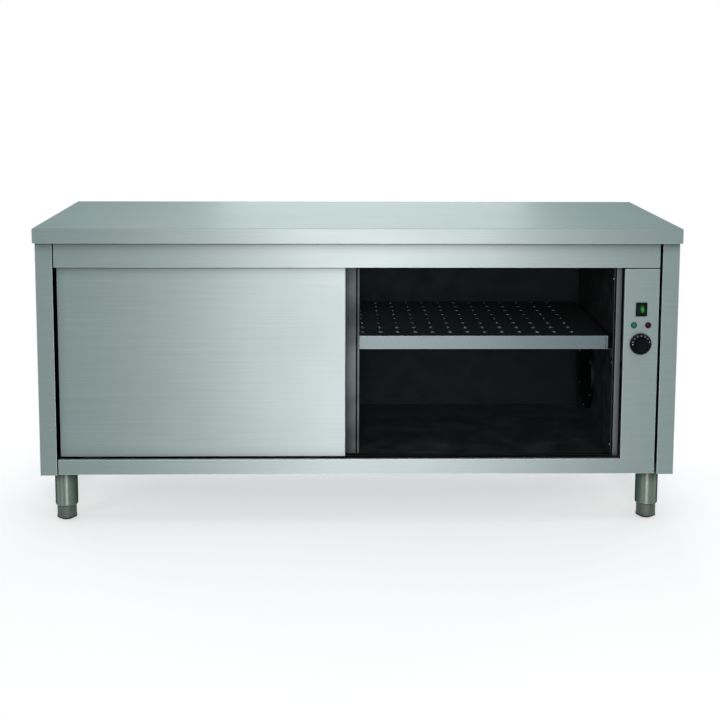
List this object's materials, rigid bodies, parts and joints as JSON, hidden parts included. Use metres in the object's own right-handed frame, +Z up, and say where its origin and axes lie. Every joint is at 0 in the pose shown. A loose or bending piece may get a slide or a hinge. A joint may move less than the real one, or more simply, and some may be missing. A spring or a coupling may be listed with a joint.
{
  "type": "plate warmer cabinet",
  "caption": "Heated stainless plate cabinet with two hanging sliding doors, a perforated shelf, a control panel with a dial and a rocker, a fan heater and adjustable feet",
  "frame": {"origin": "the middle of the floor area under the cabinet, at floor level", "axes": "+X to the right along the width as seen from the front, +Y to the back, +Z up; the doors and the control panel face -Y"},
  "size_m": [1.8, 0.7055, 0.85],
  "materials": {
    "worktop_steel": "brushed",
    "body_steel": "brushed",
    "door_steel": "brushed",
    "inner_steel": "satin",
    "shelf_steel": "satin",
    "leg_steel": "brushed",
    "track_zinc": "satin",
    "cast_alloy": "satin",
    "element_sheath": "satin",
    "board_wood": "matte",
    "mineral_wool": "matte",
    "nylon": "satin",
    "black_plastic": "satin",
    "green_plastic": "gloss",
    "green_lens": "gloss",
    "red_lens": "gloss",
    "black_rubber": "matte"
  },
  "bodies": {
    "cabinet": {"worktop": "worktop_steel", "worktop_board": "board_wood", "left_side_panel": "body_steel", "right_side_panel": "body_steel", "back_panel": "body_steel", "base_pan": "body_steel", "upper_rail": "body_steel", "front_panel": "body_steel", "right_jamb": "body_steel", "door_track": "track_zinc", "track_buffers": "black_rubber", "lower_guide": "inner_steel", "inner_left_wall": "inner_steel", "inner_right_wall": "inner_steel", "inner_back_wall": "inner_steel", "inner_ceiling": "inner_steel", "inner_floor": "inner_steel", "insulation": "mineral_wool", "shelf": "shelf_steel", "shelf_brackets": "shelf_steel", "wall_rivets": "shelf_steel", "switch_housing": "black_plastic", "green_pilot_lamp": "green_lens", "red_pilot_lamp": "red_lens", "thermostat": "nylon", "fan_cover": "inner_steel", "fan_motor": "cast_alloy", "heating_element": "element_sheath", "terminal_block": "nylon", "cable_gland": "black_plastic", "legs": "leg_steel", "leg_inserts": "cast_alloy"},
    "front_door": {"front_door_skin": "door_steel", "front_door_liner": "inner_steel", "front_door_core": "mineral_wool", "front_door_hangers": "track_zinc", "front_door_guides": "black_plastic"},
    "rear_door": {"rear_door_skin": "door_steel", "rear_door_liner": "inner_steel", "rear_door_core": "mineral_wool", "rear_door_hangers": "track_zinc", "rear_door_guides": "black_plastic"},
    "front_left_roller": {"front_left_roller": "nylon"},
    "front_right_roller": {"front_right_roller": "nylon"},
    "rear_left_roller": {"rear_left_roller": "nylon"},
    "rear_right_roller": {"rear_right_roller": "nylon"},
    "rocker": {"switch_rocker": "green_plastic"},
    "dial": {"knob": "black_plastic", "knob_spindle": "track_zinc"},
    "fan": {"fan_impeller": "cast_alloy"},
    "front_left_foot": {"front_left_foot": "cast_alloy", "front_left_pad": "black_rubber"},
    "front_right_foot": {"front_right_foot": "cast_alloy", "front_right_pad": "black_rubber"},
    "rear_left_foot": {"rear_left_foot": "cast_alloy", "rear_left_pad": "black_rubber"},
    "rear_right_foot": {"rear_right_foot": "cast_alloy", "rear_right_pad": "black_rubber"}
  },
  "joints": [
    {"name": "front_door_slide", "type": "slide", "parent": "cabinet", "child": "front_door", "axis": [1, 0, 0], "range_m": [0, 0.726]},
    {"name": "front_left_roller_spin", "type": "hinge", "parent": "front_door", "child": "front_left_roller", "pos_m": [-0.751, -0.307, 0.7973], "axis": [0, 1, 0], "continuous": true},
    {"name": "front_right_roller_spin", "type": "hinge", "parent": "front_door", "child": "front_right_roller", "pos_m": [-0.127, -0.307, 0.7973], "axis": [0, 1, 0], "continuous": true},
    {"name": "rear_door_slide", "type": "slide", "parent": "cabinet", "child": "rear_door", "axis": [1, 0, 0], "range_m": [0, 0.726]},
    {"name": "rear_left_roller_spin", "type": "hinge", "parent": "rear_door", "child": "rear_left_roller", "pos_m": [-0.711, -0.281, 0.7973], "axis": [0, 1, 0], "continuous": true},
    {"name": "rear_right_roller_spin", "type": "hinge", "parent": "rear_door", "child": "rear_right_roller", "pos_m": [-0.087, -0.281, 0.7973], "axis": [0, 1, 0], "continuous": true},
    {"name": "rocker_tilt", "type": "hinge", "parent": "cabinet", "child": "rocker", "pos_m": [0.7935, -0.326, 0.6195], "axis": [1, 0, 0], "range_deg": [0, 16]},
    {"name": "dial_turn", "type": "hinge", "parent": "cabinet", "child": "dial", "pos_m": [0.7935, -0.33, 0.521], "axis": [0, 1, 0], "range_deg": [0, 270]},
    {"name": "fan_spin", "type": "hinge", "parent": "cabinet", "child": "fan", "pos_m": [0.735, 0.11, 0.336], "axis": [1, 0, 0], "continuous": true},
    {"name": "front_left_foot_screw", "type": "slide", "parent": "cabinet", "child": "front_left_foot", "axis": [0, 0, -1], "range_m": [0, 0.03]},
    {"name": "front_right_foot_screw", "type": "slide", "parent": "cabinet", "child": "front_right_foot", "axis": [0, 0, -1], "range_m": [0, 0.03]},
    {"name": "rear_left_foot_screw", "type": "slide", "parent": "cabinet", "child": "rear_left_foot", "axis": [0, 0, -1], "range_m": [0, 0.03]},
    {"name": "rear_right_foot_screw", "type": "slide", "parent": "cabinet", "child": "rear_right_foot", "axis": [0, 0, -1], "range_m": [0, 0.03]}
  ],
  "couplings": [
    {"joint": "front_left_roller_spin", "follows": "front_door_slide", "rad_per_m": 90.909},
    {"joint": "front_right_roller_spin", "follows": "front_door_slide", "rad_per_m": 90.909},
    {"joint": "rear_left_roller_spin", "follows": "rear_door_slide", "rad_per_m": 90.909},
    {"joint": "rear_right_roller_spin", "follows": "rear_door_slide", "rad_per_m": 90.909}
  ]
}
